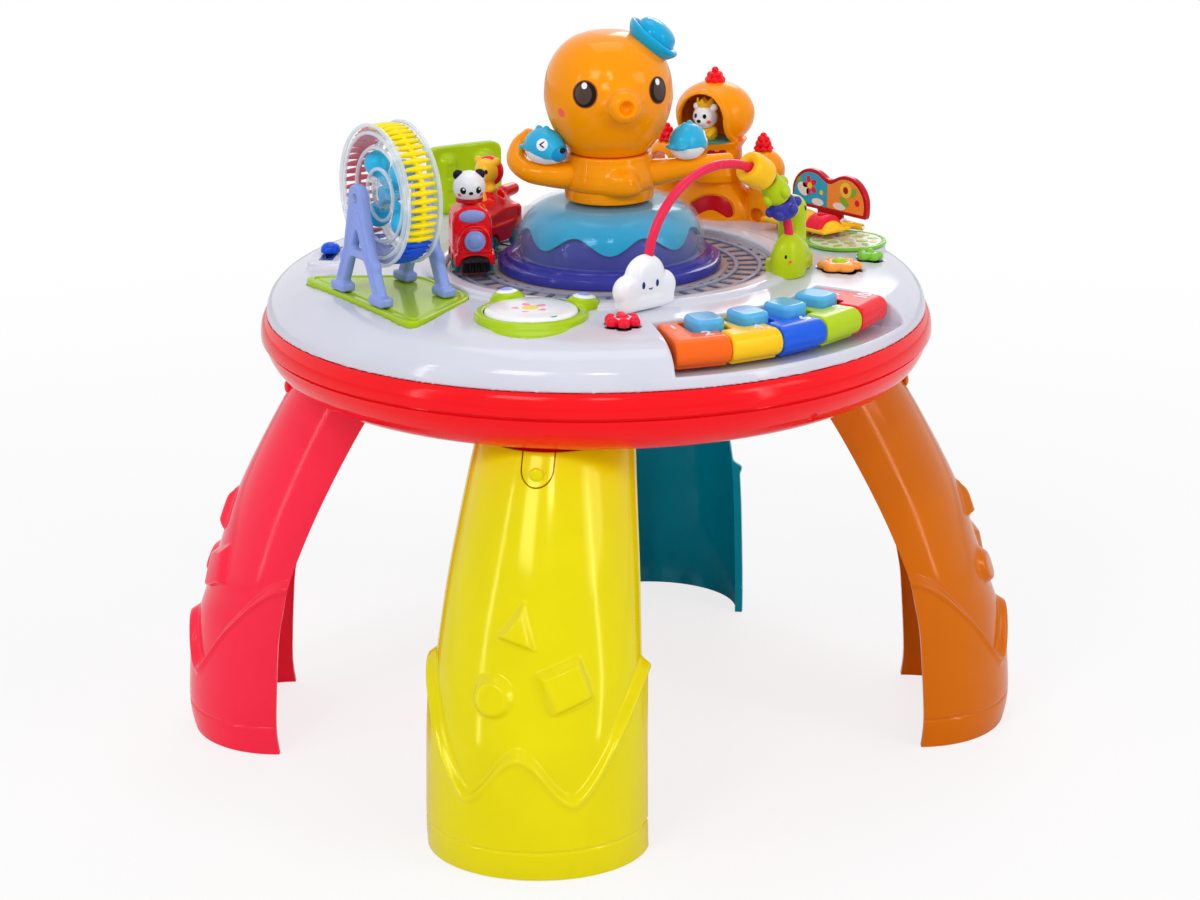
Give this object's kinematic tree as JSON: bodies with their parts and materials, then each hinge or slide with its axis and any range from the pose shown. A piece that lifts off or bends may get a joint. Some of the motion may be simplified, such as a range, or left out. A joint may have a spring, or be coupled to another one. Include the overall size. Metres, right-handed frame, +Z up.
{
  "type": "musical activity table",
  "caption": "Round toddler play table on half-tube legs, with piano keys, drum, train ring, spinning octopus, rattle wheel, bead arch, castle, flip book and buttons.",
  "frame": {"origin": "on the floor, under the middle of the table", "axes": "+Z up, -Y towards the child at the piano, +X to the right of that child"},
  "size_m": [0.4878, 0.46, 0.4996],
  "materials": {
    "bowl_red": "gloss",
    "deck_white": "gloss",
    "track_grey": "satin",
    "plinth_purple": "gloss",
    "wave_cyan": "gloss",
    "clear": "clear",
    "leg_yellow": "gloss",
    "leg_pink": "gloss",
    "leg_orange": "gloss",
    "leg_teal": "gloss",
    "green": "gloss",
    "stand_blue": "gloss",
    "orange": "gloss",
    "hat_blue": "gloss",
    "red": "gloss",
    "white": "gloss",
    "royal_blue": "gloss",
    "sky_blue": "gloss",
    "board_green": "satin",
    "black": "satin",
    "bead_yellow": "gloss"
  },
  "bodies": {
    "table": {"bowl_shell": "bowl_red", "deck_shell": "deck_white", "battery_door": "bowl_red", "speaker": "black", "main_board": "board_green", "leg_front_left": "leg_yellow", "leg_front_right": "leg_orange", "leg_rear_left": "leg_pink", "leg_rear_right": "leg_teal", "track_ring": "track_grey", "plinth_ring": "plinth_purple", "wave_insert": "wave_cyan", "dome_cover": "clear", "wheel_stand_outer": "stand_blue", "wheel_stand_inner": "stand_blue", "wheel_base_plate": "green", "castle_body": "orange", "bear_figure": "white", "arch_rod": "leg_pink", "arch_cloud": "white", "arch_worm": "green", "drum_frame": "green", "book_spine": "white", "back_panel": "green"},
    "octopus": {"octopus_body": "orange", "octopus_head": "orange", "octopus_hat": "hat_blue", "fish_left": "royal_blue", "fish_right": "royal_blue"},
    "train": {"loco_body": "red", "panda_figure": "white", "wagon_body": "red", "lion_figure": "bead_yellow"},
    "wheel": {"wheel_drum": "clear", "rib_band": "bead_yellow", "wheel_spinner": "wave_cyan"},
    "latch_front_left": {"latch_front_left": "leg_yellow"},
    "latch_front_right": {"latch_front_right": "leg_orange"},
    "latch_rear_left": {"latch_rear_left": "leg_pink"},
    "latch_rear_right": {"latch_rear_right": "leg_teal"},
    "bead_yellow": {"bead_yellow": "bead_yellow"},
    "bead_green": {"bead_green": "green"},
    "bead_purple": {"bead_purple": "plinth_purple"},
    "key_1": {"key_1": "orange"},
    "key_2": {"key_2": "bead_yellow"},
    "key_3": {"key_3": "royal_blue"},
    "key_4": {"key_4": "green"},
    "key_5": {"key_5": "red"},
    "small_key_1": {"small_key_1": "sky_blue"},
    "small_key_2": {"small_key_2": "sky_blue"},
    "small_key_3": {"small_key_3": "sky_blue"},
    "small_key_4": {"small_key_4": "sky_blue"},
    "drum_pad": {"drum_pad": "white"},
    "flower_red": {"flower_red": "red"},
    "flower_orange": {"flower_orange": "orange"},
    "flower_green": {"flower_green": "green"},
    "picture_disc": {"picture_disc": "green"},
    "slider_knob": {"slider_knob": "royal_blue"},
    "page_printed": {"page_printed": "red"},
    "page_bee": {"page_bee": "bead_yellow"}
  },
  "joints": [
    {"name": "octopus_spin", "type": "hinge", "parent": "table", "child": "octopus", "pos_m": [0.0075, -0.006, 0.3765], "axis": [0, 0, 1], "continuous": true},
    {"name": "train_run", "type": "hinge", "parent": "table", "child": "train", "pos_m": [0.0075, -0.006, 0.33], "axis": [0, 0, 1], "continuous": true},
    {"name": "wheel_spin", "type": "hinge", "parent": "table", "child": "wheel", "pos_m": [-0.15691, 0.02094, 0.3992], "axis": [-0.9912, 0.1323, 0], "continuous": true},
    {"name": "key_1_press", "type": "hinge", "parent": "table", "child": "key_1", "pos_m": [-0.05939, -0.15233, 0.3125], "axis": [0.9317, -0.3633, 0], "range_deg": [0, 3], "stiffness_Nm_per_rad": 0.3, "springref_deg": -5.73},
    {"name": "key_2_press", "type": "hinge", "parent": "table", "child": "key_2", "pos_m": [-0.03148, -0.16044, 0.3125], "axis": [0.9813, -0.1925, 0], "range_deg": [0, 3], "stiffness_Nm_per_rad": 0.3, "springref_deg": -5.73},
    {"name": "key_3_press", "type": "hinge", "parent": "table", "child": "key_3", "pos_m": [-0.00257, -0.16348, 0.3125], "axis": [0.9999, -0.0157, 0], "range_deg": [0, 3], "stiffness_Nm_per_rad": 0.3, "springref_deg": -5.73},
    {"name": "key_4_press", "type": "hinge", "parent": "table", "child": "key_4", "pos_m": [0.02642, -0.16135, 0.3125], "axis": [0.9869, 0.1616, 0], "range_deg": [0, 3], "stiffness_Nm_per_rad": 0.3, "springref_deg": -5.73},
    {"name": "key_5_press", "type": "hinge", "parent": "table", "child": "key_5", "pos_m": [0.05458, -0.15412, 0.3125], "axis": [0.9426, 0.3338, 0], "range_deg": [0, 3], "stiffness_Nm_per_rad": 0.3, "springref_deg": -5.73},
    {"name": "small_key_1_press", "type": "slide", "parent": "table", "child": "small_key_1", "axis": [0, 0, -1], "range_m": [0, 0.0025], "stiffness_N_per_m": 300, "springref_m": -0.003},
    {"name": "small_key_2_press", "type": "slide", "parent": "table", "child": "small_key_2", "axis": [0, 0, -1], "range_m": [0, 0.0025], "stiffness_N_per_m": 300, "springref_m": -0.003},
    {"name": "small_key_3_press", "type": "slide", "parent": "table", "child": "small_key_3", "axis": [0, 0, -1], "range_m": [0, 0.0025], "stiffness_N_per_m": 300, "springref_m": -0.003},
    {"name": "small_key_4_press", "type": "slide", "parent": "table", "child": "small_key_4", "axis": [0, 0, -1], "range_m": [0, 0.0025], "stiffness_N_per_m": 300, "springref_m": -0.003},
    {"name": "drum_press", "type": "slide", "parent": "table", "child": "drum_pad", "axis": [0, 0, -1], "range_m": [0, 0.0015], "stiffness_N_per_m": 300, "springref_m": -0.003},
    {"name": "flower_red_press", "type": "slide", "parent": "table", "child": "flower_red", "axis": [0, 0, -1], "range_m": [0, 0.0015], "stiffness_N_per_m": 200, "springref_m": -0.003},
    {"name": "flower_orange_press", "type": "slide", "parent": "table", "child": "flower_orange", "axis": [0, 0, -1], "range_m": [0, 0.0015], "stiffness_N_per_m": 200, "springref_m": -0.003},
    {"name": "flower_green_press", "type": "slide", "parent": "table", "child": "flower_green", "axis": [0, 0, -1], "range_m": [0, 0.0015], "stiffness_N_per_m": 200, "springref_m": -0.003},
    {"name": "bead_purple_slide", "type": "hinge", "parent": "table", "child": "bead_purple", "pos_m": [0.0075, -0.118, 0.3535], "axis": [0, -1, 0], "range_deg": [-7, 95]},
    {"name": "bead_green_slide", "type": "hinge", "parent": "table", "child": "bead_green", "pos_m": [0.0075, -0.118, 0.3535], "axis": [0, -1, 0], "range_deg": [-7, 95]},
    {"name": "bead_yellow_slide", "type": "hinge", "parent": "table", "child": "bead_yellow", "pos_m": [0.0075, -0.118, 0.3535], "axis": [0, -1, 0], "range_deg": [-7, 95]},
    {"name": "page_printed_turn", "type": "hinge", "parent": "table", "child": "page_printed", "pos_m": [0.191, -0.034, 0.337], "axis": [0, 1, 0], "range_deg": [-2, 52]},
    {"name": "page_bee_turn", "type": "hinge", "parent": "table", "child": "page_bee", "pos_m": [0.191, -0.034, 0.337], "axis": [0, 1, 0], "range_deg": [0, 30]},
    {"name": "disc_spin", "type": "hinge", "parent": "table", "child": "picture_disc", "pos_m": [0.1675, -0.073, 0.331], "axis": [0, 0, 1], "continuous": true},
    {"name": "slider_move", "type": "slide", "parent": "table", "child": "slider_knob", "axis": [-0.7218, -0.6921, 0], "range_m": [-0.011, 0.011]},
    {"name": "latch_front_left_press", "type": "hinge", "parent": "table", "child": "latch_front_left", "pos_m": [-0.15903, -0.13156, 0.2555], "axis": [0.6374, -0.7705, 0], "range_deg": [0, 4], "stiffness_Nm_per_rad": 0.2, "springref_deg": -2.86},
    {"name": "latch_front_right_press", "type": "hinge", "parent": "table", "child": "latch_front_right", "pos_m": [0.15903, -0.13156, 0.2555], "axis": [0.6374, 0.7705, 0], "range_deg": [0, 4], "stiffness_Nm_per_rad": 0.2, "springref_deg": -2.86},
    {"name": "latch_rear_left_press", "type": "hinge", "parent": "table", "child": "latch_rear_left", "pos_m": [-0.15903, 0.13156, 0.2555], "axis": [-0.6374, -0.7705, 0], "range_deg": [0, 4], "stiffness_Nm_per_rad": 0.2, "springref_deg": -2.86},
    {"name": "latch_rear_right_press", "type": "hinge", "parent": "table", "child": "latch_rear_right", "pos_m": [0.15903, 0.13156, 0.2555], "axis": [-0.6374, 0.7705, 0], "range_deg": [0, 4], "stiffness_Nm_per_rad": 0.2, "springref_deg": -2.86}
  ],
  "couplings": [
    {"joint": "bead_green_slide", "follows": "bead_purple_slide", "ratio": 1},
    {"joint": "bead_yellow_slide", "follows": "bead_purple_slide", "ratio": 1}
  ]
}
